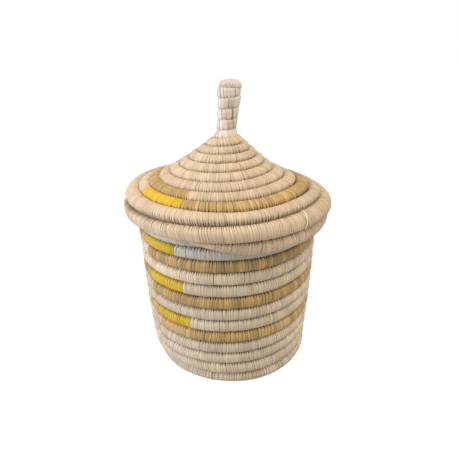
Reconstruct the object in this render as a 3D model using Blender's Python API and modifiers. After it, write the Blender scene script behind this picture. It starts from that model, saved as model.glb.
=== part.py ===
"""Coiled raffia basket with a cone lid, built as the coils that it is sewn from.

One bundle of grass, wrapped in raffia strip, spirals out from the middle of the bottom, turns up at the
foot and climbs to the rim. A second one winds down from the knob over the cone to the brim. Each change
of raffia is a piece of its own. Units are metres, +Z is up, and the front faces -Y. The origin is the
middle of the foot, on the surface that the basket stands on.
"""

import bmesh
import bpy
import numpy as np
from math import ceil, cos, floor, pi, radians, sin
from mathutils import Matrix, Vector

# Coil of the basket
COIL_PITCH = 0.0105        # from one row of the basket to the next
ROW_GAP = 0.0006           # air between two rows of one winding
END_GAP = 0.0005           # air between two lengths that meet end to end
END_RUN = 0.0010           # straight run of a length up to such an end, square to its face
REST_CUT = 0.0005          # depth of the flat that the bottom coil stands on

# Outline of the basket, at the middle of its coil
START_RADIUS = 0.0010      # where the bottom coil begins, before its tapered start is laid outwards
FOOT_RADIUS = 0.0632
FOOT_CORNER = 0.0025       # rounding where the bottom turns up into the wall
LOWER_RADIUS = 0.0663
LOWER_HEIGHT = 0.0340
BELLY_RADIUS = 0.0690
BELLY_HEIGHT = 0.0740
UPPER_RADIUS = 0.0702
UPPER_HEIGHT = 0.1060
RIM_RADIUS = 0.0723
RIM_HEIGHT = 0.1360
FOOT_SHIFT = 0.0030        # the handmade foot stands a little right of the wall's middle
SHIFT_FULL_HEIGHT = 0.0100
SHIFT_END_HEIGHT = 0.0200

# Outline of the lid, at the middle of its coil, with heights above the tip of its last row
LIP_RADIUS = 0.0789
BRIM_RADIUS = 0.0814
BRIM_RISE = 0.0099
BRIM_TOP_RADIUS = 0.0824
BRIM_TOP_RISE = 0.0160
SHOULDER_RADIUS = 0.0768
SHOULDER_RISE = 0.0196
CONE_LOWER_RADIUS = 0.0443
CONE_LOWER_RISE = 0.0338
CONE_UPPER_RADIUS = 0.0212
CONE_UPPER_RISE = 0.0515
NECK_RADIUS = 0.0100
NECK_RISE = 0.0614
KNOB_RADIUS = 0.0041
KNOB_FOOT_RISE = 0.0699
KNOB_TOP_RADIUS = 0.0056
KNOB_TOP_RISE = 0.1064
CONE_SHIFT = -0.0012       # the handmade cone stands a little left of the brim's middle
NECK_SHIFT = -0.0008       # its knob a little more
KNOB_SHIFT = 0.0020        # and leans back to the right at its top

# Thickness of the lid's coil
TAIL_COIL = 0.0120         # along its tail
THIN_EDGE_COIL = 0.0103
EDGE_COIL = 0.0113
FRONT_BRIM_COIL = 0.0104
BRIM_COIL = 0.0122
SHOULDER_COIL = 0.0091
CONE_COIL = 0.0102
UPPER_CONE_COIL = 0.0085
KNOB_COIL = 0.0074

# Cap over the start of the lid's coil
CAP_RADIUS = 0.0092
CAP_HEIGHT = 0.0068
CAP_GAP = 0.0003
CAP_SQUARENESS_SHARE = 0.4
CAP_STEPS = 7
CAP_SIDES = 20

# Loose strand bound round the brim, with its angles measured from straight out, up over the coil
STRAND_WIDTH = 0.0019
STRAND_THICKNESS = 0.0005
STRAND_GAP = 0.0003
STRAND_FROM = radians(-60)
STRAND_TO = radians(100)
STRAND_STEPS = 10

# How the lid sits on the basket
SEAT_GAP = 0.0001
LID_TILT = radians(1.45)
LID_TILT_ANGLE = radians(26)     # way that it is lowest, from the front to the right

FINE_RADIUS = 0.0350       # inside it, rows have half as many rings

# Turns of the basket's coil, whole at the front of each row, and angles to the right from there
FOOT_FRONT_RISE = 0.0006   # how far the foot row has climbed at the front, where turn 0 is
WALL_TURNS = 12
BOTTOM_END_TURN = 0.25
START_TAPER_TURNS = 0.8
RIM_TAPER_TURNS = 0.05
RIM_END_ANGLE = radians(-12)
WALL_BANDS = (             # row that each starts on, then where it starts, turns yellow and ends
    (4, radians(-52), radians(-54), radians(-25)),
    (7, radians(-57), radians(-58), radians(-28)),
    (10, radians(-58), radians(-59), radians(-32)),
)

# Turns of the lid's coil, counted inwards from the tip of its tail
TAIL_TIP_ANGLE = radians(-20)
TAIL_TAPER_TURNS = 0.09
BRIM_JOIN_TURN = 1.175
LID_BAND = (2.870, 2.982, 3.982)   # yellow starts, tan starts, tan ends
KNOB_FOOT_TURN = 10.5
KNOB_TAPER_TURNS = 0.85
EVEN_FROM_TURN = 2
EVEN_OVER_TURNS = 3
LID_COILS = (
    (0, TAIL_COIL), (0.12, TAIL_COIL), (0.25, THIN_EDGE_COIL), (0.45, THIN_EDGE_COIL), (0.65, EDGE_COIL),
    (0.85, THIN_EDGE_COIL), (1.05, FRONT_BRIM_COIL), (1.45, FRONT_BRIM_COIL), (1.7, BRIM_COIL),
    (1.85, BRIM_COIL), (2.1, SHOULDER_COIL), (2.5, SHOULDER_COIL), (3, CONE_COIL), (5, CONE_COIL),
    (7, UPPER_CONE_COIL), (9, KNOB_COIL),
)
RIM_TURNS_UNDER_LID = 2    # turns of either coil that can touch the other one
LID_TURNS_OVER_RIM = 4

# Shares and counts
TIP_SHARE = 0.15           # thickness of a tapered tip, as a share of its coil
START_SHARE = 0.55
KNOB_TIP_SHARE = 0.12
SIDE_SHARE = cos(pi / 6)   # from the middle of a six-sided coil to its flats
STEEPEST_SHARE = 0.6
NEIGHBOUR_SHARE = 0.4      # points more than this share of a turn apart lie on different rows
CLEAR_SHARE = 1.5          # least space between two rings of a coil, as a share of the straight run
WELD_SHARE = 0.0001
CUTTER_SHARE = 1.5         # half width of the cutter, as a share of the foot's radius
POINTS_PER_TURN = 24
SEAT_POINTS_PER_TURN = 240
COIL_RESOLUTION = 1        # gives the coil six sides
CORNER_STEPS = 12
SPAN_STEPS = 60

# Colours and finishes of the raffia
NATURAL = (0.72, 0.60, 0.45)
NATURAL_PALE = (0.80, 0.70, 0.57)
TAN = (0.50, 0.34, 0.14)
YELLOW = (0.74, 0.52, 0.05)
RAFFIA_ROUGHNESS = 0.6


def clear_scene():
    for thing in list(bpy.data.objects):
        bpy.data.objects.remove(thing, do_unlink=True)


def new_collection(name):
    group = bpy.data.collections.new(name)
    bpy.context.scene.collection.children.link(group)
    return group


def raffia(name, colour):
    material = bpy.data.materials.new(name)
    material.use_nodes = True
    shader = material.node_tree.nodes["Principled BSDF"]
    shader.inputs["Base Color"].default_value = (*colour, 1)
    shader.inputs["Roughness"].default_value = RAFFIA_ROUGHNESS
    shader.inputs["Metallic"].default_value = 0
    return material


def smooth_line(points):
    """A smooth outline through a few (radius, height) points, as closely spaced points."""
    known = np.array(points)
    ends = np.vstack([2 * known[0] - known[1], known, 2 * known[-1] - known[-2]])
    line = [known[0]]
    for i in range(len(known) - 1):
        before, start, end, after = ends[i:i + 4]
        for step in range(1, SPAN_STEPS + 1):
            t = step / SPAN_STEPS
            line.append(0.5 * (2 * start + (end - before) * t
                               + (2 * before - 5 * start + 4 * end - after) * t ** 2
                               + (3 * start - before - 3 * end + after) * t ** 3))
    return np.array(line)


def distances_along(line):
    return np.concatenate([[0], np.cumsum(np.linalg.norm(np.diff(line, axis=0), axis=1))])


def basket_outline(bottom_height):
    """The bottom's straight line, a rounded corner at the foot and the wall's gentle curve."""
    wall = smooth_line([(FOOT_RADIUS, bottom_height), (LOWER_RADIUS, LOWER_HEIGHT),
                        (BELLY_RADIUS, BELLY_HEIGHT), (UPPER_RADIUS, UPPER_HEIGHT),
                        (RIM_RADIUS, RIM_HEIGHT)])
    along = distances_along(wall)
    foot = wall[0]
    before = foot - np.array([FOOT_CORNER, 0])
    after = np.array([np.interp(FOOT_CORNER, along, wall[:, i]) for i in range(2)])
    corner = [(1 - t) ** 2 * before + 2 * t * (1 - t) * foot + t ** 2 * after
              for t in np.linspace(0, 1, CORNER_STEPS)]
    start = np.array([START_RADIUS, bottom_height])
    return np.vstack([start, corner, wall[along > FOOT_CORNER]])


def lid_outline():
    """From the tip of the last row, round the brim, up the cone and up the knob."""
    return smooth_line([(LIP_RADIUS, 0), (BRIM_RADIUS, BRIM_RISE),
                        (BRIM_TOP_RADIUS, BRIM_TOP_RISE), (SHOULDER_RADIUS, SHOULDER_RISE),
                        (CONE_LOWER_RADIUS, CONE_LOWER_RISE), (CONE_UPPER_RADIUS, CONE_UPPER_RISE),
                        (NECK_RADIUS, NECK_RISE), (KNOB_RADIUS, KNOB_FOOT_RISE),
                        (KNOB_TOP_RADIUS, KNOB_TOP_RISE)])


def row_spacing(mean_thickness, radius):
    """Distance between rows that leaves the row gap, also where a tight turn makes the coil steep.

    radius is half way between the two rows.
    """
    square_on = mean_thickness + ROW_GAP
    steepness = min(square_on / (2 * pi * radius), STEEPEST_SHARE)
    return square_on / (1 - steepness ** 2) ** 0.5


class Winding:
    """A coil wound along an outline, each row laid against the row before it.

    turns holds the turn count at each point, and angle_offset the turn count's place round the axis.
    shape moves a point of the even winding to where it is in the crooked, handmade one.
    """

    def __init__(self, outline, first_turn, last_turn, thickness, angle_offset=0, even_from=None,
                 shape=None):
        self.angle_offset = angle_offset
        self.shape = shape
        along = distances_along(outline)
        first = floor(first_turn * POINTS_PER_TURN) + 1
        turns = [first_turn] + [i / POINTS_PER_TURN for i in range(first, first + POINTS_PER_TURN)]
        places = []
        mean_thickness = (thickness(first_turn) + thickness(first_turn + 1)) / 2
        first_step = row_spacing(mean_thickness, outline[0, 0] + mean_thickness / 2)
        for turn in turns:
            places.append((turn - first_turn) * first_step)
        step = first + POINTS_PER_TURN
        while step / POINTS_PER_TURN <= last_turn:
            turn = step / POINTS_PER_TURN
            place = np.interp(turn - 1, turns, places)
            here = np.array([np.interp(place, along, outline[:, i]) for i in range(2)])
            mean_thickness = (thickness(turn) + thickness(turn - 1)) / 2
            between = np.interp(place + mean_thickness / 2, along, outline[:, 0])
            apart = row_spacing(mean_thickness, between)
            ahead = along > place
            reach = np.linalg.norm(outline[ahead] - here, axis=1)
            if not len(reach) or reach[-1] < apart:
                break
            beyond = int(np.argmax(reach >= apart))
            far_place = along[ahead][beyond]
            near_place = along[ahead][beyond - 1] if beyond else place
            far_reach = reach[beyond]
            near_reach = reach[beyond - 1] if beyond else 0
            share = (apart - near_reach) / (far_reach - near_reach)
            turns.append(turn)
            places.append(near_place + share * (far_place - near_place))
            step += 1
        self.turns = np.array(turns)
        if even_from is not None:
            places = self._evened(np.array(places), even_from)
        self.points = np.stack([np.interp(places, along, outline[:, i]) for i in range(2)], 1)
        self.thick = np.array([thickness(turn) for turn in turns])
        self.thick -= np.maximum(0, ROW_GAP - self._air())

    def _evened(self, places, even_from):
        """Spreads the rows' rise evenly round each turn, past a turn count where a corner upset it."""
        half = POINTS_PER_TURN // 2
        reach = np.arange(1, half + 1)
        before = places[0] - reach[::-1] * (places[1] - places[0])
        after = places[-1] + reach * (places[-1] - places[-1 - POINTS_PER_TURN]) / POINTS_PER_TURN
        padded = np.concatenate([before, places, after])
        window = np.ones(2 * half + 1)
        window[[0, -1]] = 0.5
        mean = np.convolve(padded, window / window.sum(), "valid")
        share = np.clip((self.turns - even_from) / EVEN_OVER_TURNS, 0, 1)
        return places * (1 - share) + mean * share

    def at(self, turn):
        """Radius, height and thickness of the coil at a turn."""
        radius, height = [np.interp(turn, self.turns, self.points[:, i]) for i in range(2)]
        return radius, height, np.interp(turn, self.turns, self.thick)

    def taper_start(self, turns_long, tip_share):
        """Thins the first stretch, and lays it down against the row that follows it."""
        self._taper(self.turns[0], turns_long, tip_share, 1)

    def taper_end(self, turns_long, tip_share):
        """Thins the last stretch, and lays it down against the row before it."""
        self._taper(self.turns[-1], -turns_long, tip_share, -1)

    def _taper(self, tip, length, tip_share, neighbour):
        full = self.points.copy()
        for i, turn in enumerate(self.turns):
            share = (turn - tip) / length
            if not 0 <= share < 1:
                continue
            thin = self.thick[i] * (tip_share + (1 - tip_share) * share)
            beside = np.array([np.interp(turn + neighbour, self.turns, full[:, k]) for k in range(2)])
            away = full[i] - beside
            between = (full[i][0] + beside[0]) / 2
            apart = row_spacing((thin + self.at(turn + neighbour)[2]) / 2, between)
            self.points[i] = beside + away / np.linalg.norm(away) * apart
            self.thick[i] = thin

    def angle(self, turn):
        return 2 * pi * turn + self.angle_offset

    def place(self, turn):
        radius, height, _ = self.at(turn)
        angle = self.angle(turn)
        place = Vector((radius * sin(angle), -radius * cos(angle), height))
        return self.shape(place) if self.shape else place

    def direction(self, turn):
        """The way that the coil runs at a turn."""
        step = 1 / SEAT_POINTS_PER_TURN
        return (self.place(turn + step) - self.place(turn - step)).normalized()

    def lean(self, turn):
        """Angle, in the outline's plane, of the line from the row before to the row after."""
        near = max(turn - 0.5, self.turns[0])
        far = min(near + 1, self.turns[-1])
        near = far - 1
        start, end = np.array(self.at(near)[:2]), np.array(self.at(far)[:2])
        return np.arctan2(end[1] - start[1], end[0] - start[0])

    def trimmed(self, first, last):
        """The turns between which a length runs, with half an end gap taken off each end that meets."""
        radius_first, radius_last = self.at(first)[0], self.at(last)[0]
        first_trim = END_GAP / 2 / (2 * pi * radius_first) if first > self.turns[0] else 0
        last_trim = END_GAP / 2 / (2 * pi * radius_last) if last < self.turns[-1] else 0
        return first + first_trim, last - last_trim

    def rings(self, first, last, extra=()):
        """The turns where a length has a ring: a common grid, its two ends and any extra ones."""
        steps = range(ceil(first * POINTS_PER_TURN), floor(last * POINTS_PER_TURN) + 1)
        grid = [step / POINTS_PER_TURN for step in steps
                if step % 2 == 0 or self.at(step / POINTS_PER_TURN)[0] > FINE_RADIUS]
        rings = [first]
        for turn in sorted([*grid, *extra]):
            clear = CLEAR_SHARE * END_RUN / (2 * pi * self.at(turn)[0])
            if turn - rings[-1] > clear and last - turn > clear:
                rings.append(turn)
        return rings + [last]

    def path(self, first, last, extra=()):
        """Point, radius and lean of each ring, with a straight run up to an end that meets another."""
        rings = self.rings(first, last, extra)
        path = [(self.place(turn), self.at(turn)[2] / 2, self.lean(turn)) for turn in rings]
        for end, beside, side in ((0, 1, 1), (-1, -1, -1)):
            if rings[end] not in (self.turns[0], self.turns[-1]):
                point, radius, lean = path[end]
                run = point + side * END_RUN * self.direction(rings[end])
                path.insert(beside, (run, radius, lean))
        return path

    def _air(self):
        """At each point, the least air between the coil and its other rows."""
        points = np.array([self.place(turn) for turn in self.turns])
        nearest = np.full(len(points), np.inf)
        for i, turn in enumerate(self.turns):
            other = np.abs(self.turns - turn) > NEIGHBOUR_SHARE
            apart = np.linalg.norm(points[other] - points[i], axis=1)
            nearest[i] = (apart - (self.thick[other] + self.thick[i]) / 2).min()
        return nearest

    def least_gap(self):
        """Least air between the coil and itself, measured between points on different rows."""
        return float(self._air().min())


def coil_object(name, winding, first, last, material, group, extra=()):
    """A length of coil as a six-sided tube along the winding, with a corner turned to each next row."""
    first, last = winding.trimmed(first, last)
    curve = bpy.data.curves.new(name, "CURVE")
    curve.dimensions = "3D"
    curve.twist_mode = "Z_UP"
    path = winding.path(first, last, extra)
    spline = curve.splines.new("POLY")
    spline.points.add(len(path) - 1)
    for point, (place, radius, lean) in zip(spline.points, path):
        point.co = (*place, 1)
        point.radius = radius
        point.tilt = -lean
    curve.bevel_depth = 1
    curve.bevel_resolution = COIL_RESOLUTION
    curve.use_fill_caps = True
    thing = bpy.data.objects.new(name, curve)
    curve.materials.append(material)
    group.objects.link(thing)
    return thing


def as_mesh(thing, group):
    """The curve's own mesh, with its caps welded, in place of the curve."""
    bpy.context.view_layer.update()
    graph = bpy.context.evaluated_depsgraph_get()
    mesh = bpy.data.meshes.new_from_object(thing.evaluated_get(graph))
    work = bmesh.new()
    work.from_mesh(mesh)
    bmesh.ops.remove_doubles(work, verts=work.verts, dist=COIL_PITCH * WELD_SHARE)
    work.to_mesh(mesh)
    work.free()
    name = thing.name
    place = thing.matrix_world.copy()
    bpy.data.objects.remove(thing, do_unlink=True)
    solid = bpy.data.objects.new(name, mesh)
    solid.matrix_world = place
    group.objects.link(solid)
    return solid


def cut_flat(thing, cutters):
    """Takes off what lies below the surface that the basket stands on."""
    half = CUTTER_SHARE * FOOT_RADIUS
    work = bmesh.new()
    bmesh.ops.create_cube(work, size=1)
    bmesh.ops.scale(work, vec=(2 * half, 2 * half, COIL_PITCH), verts=work.verts)
    bmesh.ops.translate(work, vec=(0, 0, -COIL_PITCH / 2), verts=work.verts)
    mesh = bpy.data.meshes.new("foot_cutter")
    work.to_mesh(mesh)
    work.free()
    cutter = bpy.data.objects.new("foot_cutter", mesh)
    cutter.hide_render = True
    cutter.display_type = "WIRE"
    cutters.objects.link(cutter)
    cut = thing.modifiers.new("flat_foot", "BOOLEAN")
    cut.operation = "DIFFERENCE"
    cut.object = cutter


def wall_thickness(turn):
    return COIL_PITCH - ROW_GAP


def bottom_turns(outline):
    """Turns from the start of the bottom to the front of the foot row."""
    most = int(distances_along(outline)[-1] / COIL_PITCH)
    trial = Winding(outline, 0, most, wall_thickness)
    rises = trial.points[:, 1] - trial.points[0, 1]
    return float(np.interp(FOOT_FRONT_RISE, rises, trial.turns))


def lid_thickness(turn):
    """Thickness of the lid's coil at a turn counted inwards from its tail."""
    turns, thicknesses = zip(*LID_COILS)
    return float(np.interp(turn, turns, thicknesses))


def foot_lean(place):
    """Moves a point of the basket sideways by the foot's own crookedness at its height."""
    shift = np.interp(place.z, (SHIFT_FULL_HEIGHT, SHIFT_END_HEIGHT), (FOOT_SHIFT, 0))
    return Vector((place.x + shift, place.y, place.z))


def lid_lean(place):
    """Moves a point of the lid sideways by the lid's own crookedness at its height."""
    shift = np.interp(place.z, (BRIM_RISE, SHOULDER_RISE, NECK_RISE, KNOB_FOOT_RISE, KNOB_TOP_RISE),
                      (0, CONE_SHIFT, NECK_SHIFT, NECK_SHIFT, KNOB_SHIFT))
    return Vector((place.x + shift, place.y, place.z))


def lid_tilt():
    return Matrix.Rotation(LID_TILT, 3, (cos(LID_TILT_ANGLE), sin(LID_TILT_ANGLE), 0))


def seat_height(basket, lid):
    """Height at which the tilted lid, lowered onto the rim, comes within the seat gap of it."""
    tilt = lid_tilt()
    rim_end = basket.turns[-1]
    rim_turns = np.arange(rim_end - RIM_TURNS_UNDER_LID, rim_end, 1 / SEAT_POINTS_PER_TURN)
    edge_turns = np.arange(0, LID_TURNS_OVER_RIM, 1 / SEAT_POINTS_PER_TURN)
    rim = np.array([basket.place(t) for t in rim_turns])
    rim_thick = np.array([basket.at(t)[2] for t in rim_turns])
    highest = 0
    for turn in edge_turns:
        point = tilt @ lid.place(turn)
        reach = (rim_thick + lid.at(turn)[2]) / 2 + SEAT_GAP
        across = np.hypot(rim[:, 0] - point.x, rim[:, 1] - point.y)
        touching = across < reach
        if touching.any():
            rise = np.sqrt(reach[touching] ** 2 - across[touching] ** 2)
            highest = max(highest, float((rim[touching, 2] + rise).max()) - point.z)
    return highest


def cap_object(winding, material, group, seat):
    """Domed cap over the start of the coil, turned from a profile that runs from top to bottom."""
    top = max(winding.at(t)[1] + winding.at(t)[2] / 2 for t in winding.turns[-POINTS_PER_TURN:])
    half = CAP_HEIGHT / 2
    profile = [(0, CAP_HEIGHT)]
    for step in range(1, CAP_STEPS + 1):
        angle = pi / 2 - pi * step / (CAP_STEPS + 1)
        profile.append((CAP_RADIUS * cos(angle) ** CAP_SQUARENESS_SHARE, half + half * sin(angle)))
    profile.append((0, 0))
    work = bmesh.new()
    corners = [work.verts.new((x, 0, z)) for x, z in profile]
    for start, end in zip(corners, corners[1:]):
        work.edges.new((start, end))
    mesh = bpy.data.meshes.new("knob_cap")
    work.to_mesh(mesh)
    work.free()
    cap = bpy.data.objects.new("knob_cap", mesh)
    mesh.materials.append(material)
    group.objects.link(cap)
    turned = cap.modifiers.new("turned", "SCREW")
    turned.steps = CAP_SIDES
    turned.render_steps = CAP_SIDES
    turned.use_merge_vertices = True
    turned.merge_threshold = CAP_RADIUS * WELD_SHARE
    cap.parent = seat
    cap.location = lid_lean(Vector((0, 0, top + CAP_GAP)))
    return cap


def strand_object(winding, turn, material, group, seat):
    """Flat raffia strand bent round the outside of the brim coil where two lengths of it meet."""
    inner = winding.at(turn)[2] / 2 + STRAND_GAP
    outer = inner + STRAND_THICKNESS
    curve = bpy.data.curves.new("brim_strand", "CURVE")
    curve.dimensions = "2D"
    curve.fill_mode = "BOTH"
    curve.extrude = STRAND_WIDTH / 2
    spline = curve.splines.new("POLY")
    angles = [STRAND_FROM + (STRAND_TO - STRAND_FROM) * i / STRAND_STEPS for i in range(STRAND_STEPS + 1)]
    outline = [(outer * cos(a), outer * sin(a)) for a in angles]
    outline += [(inner * cos(a), inner * sin(a)) for a in reversed(angles)]
    spline.points.add(len(outline) - 1)
    for point, (x, y) in zip(spline.points, outline):
        point.co = (x, y, 0, 1)
    spline.use_cyclic_u = True
    strand = bpy.data.objects.new("brim_strand", curve)
    curve.materials.append(material)
    group.objects.link(strand)
    strand.parent = seat
    angle = winding.angle(turn)
    outwards = Vector((sin(angle), -cos(angle), 0))
    along = Vector((cos(angle), sin(angle), 0))
    turned = Matrix((outwards, Vector((0, 0, 1)), -along)).transposed()
    strand.matrix_local = Matrix.Translation(winding.place(turn)) @ turned.to_4x4()
    return strand


def build_basket(group, cutters, natural, tan, yellow):
    bottom_height = wall_thickness(0) / 2 * SIDE_SHARE - REST_CUT
    outline = basket_outline(bottom_height)
    first_turn = -bottom_turns(outline)
    last_turn = WALL_TURNS + RIM_END_ANGLE / (2 * pi)
    basket = Winding(outline, first_turn, last_turn, wall_thickness, shape=foot_lean)
    basket.taper_start(START_TAPER_TURNS, START_SHARE)
    basket.taper_end(RIM_TAPER_TURNS, TIP_SHARE)
    bottom = coil_object("bottom_coil", basket, first_turn, BOTTOM_END_TURN, natural, group)
    cut_flat(as_mesh(bottom, group), cutters)
    start = BOTTOM_END_TURN
    names = ("foot_coil", "lower_wall_coil", "upper_wall_coil")
    for number, (name, band) in enumerate(zip(names, WALL_BANDS), 1):
        row, tan_from, yellow_from, yellow_to = band
        tan_turn = row + tan_from / (2 * pi)
        yellow_turn = row + 1 + yellow_from / (2 * pi)
        end_turn = row + 1 + yellow_to / (2 * pi)
        coil_object(name, basket, start, tan_turn, natural, group)
        coil_object(f"tan_band_{number}", basket, tan_turn, yellow_turn, tan, group)
        coil_object(f"yellow_patch_{number}", basket, yellow_turn, end_turn, yellow, group)
        start = end_turn
    taper = basket.turns[-1] - RIM_TAPER_TURNS
    coil_object("rim_coil", basket, start, basket.turns[-1], natural, group, extra=(taper,))
    return basket


def build_lid(basket, group, natural, pale, tan, yellow):
    outline = lid_outline()
    most_turns = int(distances_along(outline)[-1] / KNOB_COIL)
    lid = Winding(outline, 0, most_turns, lid_thickness, TAIL_TIP_ANGLE, EVEN_FROM_TURN, lid_lean)
    lid.taper_start(TAIL_TAPER_TURNS, TIP_SHARE)
    lid.taper_end(KNOB_TAPER_TURNS, KNOB_TIP_SHARE)
    seat = bpy.data.objects.new("lid_seat", None)
    seat.location = (0, 0, seat_height(basket, lid))
    seat.rotation_euler = lid_tilt().to_euler()
    group.objects.link(seat)
    yellow_from, tan_from, tan_to = LID_BAND
    lengths = (
        ("edge_coil", 0, BRIM_JOIN_TURN, natural),
        ("brim_coil", BRIM_JOIN_TURN, yellow_from, natural),
        ("lid_yellow_patch", yellow_from, tan_from, yellow),
        ("lid_tan_band", tan_from, tan_to, tan),
        ("cone_coil", tan_to, KNOB_FOOT_TURN, natural),
        ("knob_coil", KNOB_FOOT_TURN, lid.turns[-1], natural),
    )
    joins = (BRIM_JOIN_TURN, yellow_from, tan_from, tan_to)
    extra = [join - rows for join in joins for rows in range(1, ceil(join))]
    extra += [TAIL_TAPER_TURNS, TAIL_TAPER_TURNS / 2]
    for name, first, last, material in lengths:
        coil_object(name, lid, first, last, material, group, extra=extra).parent = seat
    cap_object(lid, natural, group, seat)
    strand_object(lid, BRIM_JOIN_TURN, pale, group, seat)
    return lid, seat


def main():
    clear_scene()
    group = new_collection("lidded_basket")
    cutters = new_collection("cutters")
    natural = raffia("natural_raffia", NATURAL)
    pale = raffia("pale_raffia", NATURAL_PALE)
    tan = raffia("tan_raffia", TAN)
    yellow = raffia("yellow_raffia", YELLOW)
    basket = build_basket(group, cutters, natural, tan, yellow)
    lid, seat = build_lid(basket, group, natural, pale, tan, yellow)
    print(f"least gap of the basket's coil to itself: {basket.least_gap() * 1000:.2f} mm")
    print(f"least gap of the lid's coil to itself: {lid.least_gap() * 1000:.2f} mm")
    print(f"lid seat at {seat.location.z * 1000:.2f} mm, {len(lid.turns) / POINTS_PER_TURN:.2f} turns")


main()
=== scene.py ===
"""Looks of the lidded basket: its coils wrapped strip by strip in natural, tan and yellow raffia.

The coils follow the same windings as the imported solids, and each piece of a coil replaces its node.
Units are metres, +Z is up and the front faces -Y.
"""

from math import cos, floor, pi, radians, sin

import bmesh
import bpy
import numpy as np
from mathutils import Matrix, Vector


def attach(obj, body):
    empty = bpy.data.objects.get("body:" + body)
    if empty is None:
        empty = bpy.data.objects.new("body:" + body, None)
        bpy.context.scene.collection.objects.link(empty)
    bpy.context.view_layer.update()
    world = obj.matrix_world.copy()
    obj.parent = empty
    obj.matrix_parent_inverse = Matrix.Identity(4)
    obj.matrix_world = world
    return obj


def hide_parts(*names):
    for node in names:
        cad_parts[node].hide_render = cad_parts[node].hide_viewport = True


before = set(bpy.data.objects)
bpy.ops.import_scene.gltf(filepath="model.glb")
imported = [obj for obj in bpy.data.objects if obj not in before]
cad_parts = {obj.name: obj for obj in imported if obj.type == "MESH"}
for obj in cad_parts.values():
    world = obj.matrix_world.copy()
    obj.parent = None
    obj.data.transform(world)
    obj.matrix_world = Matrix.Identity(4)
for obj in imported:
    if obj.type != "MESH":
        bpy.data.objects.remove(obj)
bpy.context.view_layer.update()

# Outline of the basket at the middle of its coil, as radius and height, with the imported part's sizes
COIL_PITCH = 0.0105
ROW_GAP = 0.0006
REST_CUT = 0.0005
START_RADIUS = 0.0010
FOOT_RADIUS = 0.0632
FOOT_CORNER = 0.0025
WALL_LINE = ((0.0663, 0.0340), (0.0690, 0.0740), (0.0702, 0.1060), (0.0723, 0.1360))
SIDE_SHARE = cos(pi / 6)         # from the middle of a six-sided solid coil to its flats

# Turns of the basket's coil, whole at the front of each row, and degrees to the right from there
DEGREES_PER_TURN = 360
FIRST_TURN = -5.82
WALL_TURNS, RIM_END = 12, -12
LAST_TURN = WALL_TURNS + RIM_END / DEGREES_PER_TURN
FOOT_START = 0.25
START_TAPER, START_SHARE = 0.8, 0.55
RIM_TAPER, TIP_SHARE = 0.05, 0.15
WALL_BANDS = ((4, -52, -54, -25), (7, -57, -58, -28), (10, -58, -59, -32))   # row, tan, yellow, end

# Outline of the lid at the middle of its coil, as radius and height above the tip of its tail
LID_LINE = (
    (0.0789, 0), (0.0814, 0.0099), (0.0824, 0.0160), (0.0768, 0.0196), (0.0443, 0.0338),
    (0.0212, 0.0515), (0.0100, 0.0614), (0.0041, 0.0699), (0.0056, 0.1064),
)
SEAT_HEIGHT = 0.12865            # height of that tip where the lid sits on the rim
LID_TILT, LID_TILT_ANGLE = radians(1.45), radians(26)

# Turns of the lid's coil, counted inwards from the tip of its tail, and its thickness at some of them
TAIL_COIL, THIN_EDGE_COIL, EDGE_COIL, FRONT_BRIM_COIL = 0.0120, 0.0103, 0.0113, 0.0104
BRIM_COIL, SHOULDER_COIL, CONE_COIL, UPPER_CONE_COIL, KNOB_COIL = 0.0122, 0.0091, 0.0102, 0.0085, 0.0074
LID_COILS = (
    (0, TAIL_COIL), (0.12, TAIL_COIL), (0.25, THIN_EDGE_COIL), (0.45, THIN_EDGE_COIL), (0.65, EDGE_COIL),
    (0.85, THIN_EDGE_COIL), (1.05, FRONT_BRIM_COIL), (1.45, FRONT_BRIM_COIL), (1.7, BRIM_COIL),
    (1.85, BRIM_COIL), (2.1, SHOULDER_COIL), (2.5, SHOULDER_COIL), (3, CONE_COIL), (5, CONE_COIL),
    (7, UPPER_CONE_COIL), (9, KNOB_COIL),
)
TAIL_TIP_ANGLE = radians(-20)
TAIL_TAPER = 0.09
BRIM_JOIN = 1.175
LID_BAND = (2.870, 2.982, 3.982)          # yellow starts, tan starts, tan ends
KNOB_FOOT = 10.5
KNOB_TAPER, KNOB_TIP_SHARE = 0.85, 0.12
EVEN_FROM, EVEN_OVER = 2, 3
STEEPEST_SHARE = 0.6
POINTS_PER_TURN = 24
CORNER_STEPS, SPAN_STEPS = 12, 60

# What the hand-laid rows do beside the even windings
FOOT_SHIFT_HEIGHTS, FOOT_SHIFTS = (0.008, 0.014, 0.024), (0.0032, 0.0018, 0)
WALL_RISE_HEIGHTS, WALL_RISES = (0.006, 0.020, 0.060, 0.112, 0.130), (0, 0.0007, 0.0012, 0.0012, 0)
LEAN_HEIGHTS = (0.0099, 0.0196, 0.0420, 0.0614, 0.0699, 0.1064)
LEAN_SHIFTS = (0, -0.0022, -0.0030, -0.0004, -0.0004, 0.0029)
LID_RISE = 0.0005
LID_WAVES = ((0.0022, 52), (-0.0020, 128))   # height of each, and degrees to the right of the front
LID_WAVE_SPREAD = 32
LID_RISE_HEIGHTS, LID_RISE_SHARES = (0.004, 0.014, 0.030, 0.052), (0, 1, 1, 0)
KNOB_LEVEL_SHARE, KNOB_LEVEL_OVER = 0.75, 0.8
KNOB_TOP_FILL, FILL_TURNS, FILL_OVER = 0.0016, 1.2, 0.5

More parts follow.
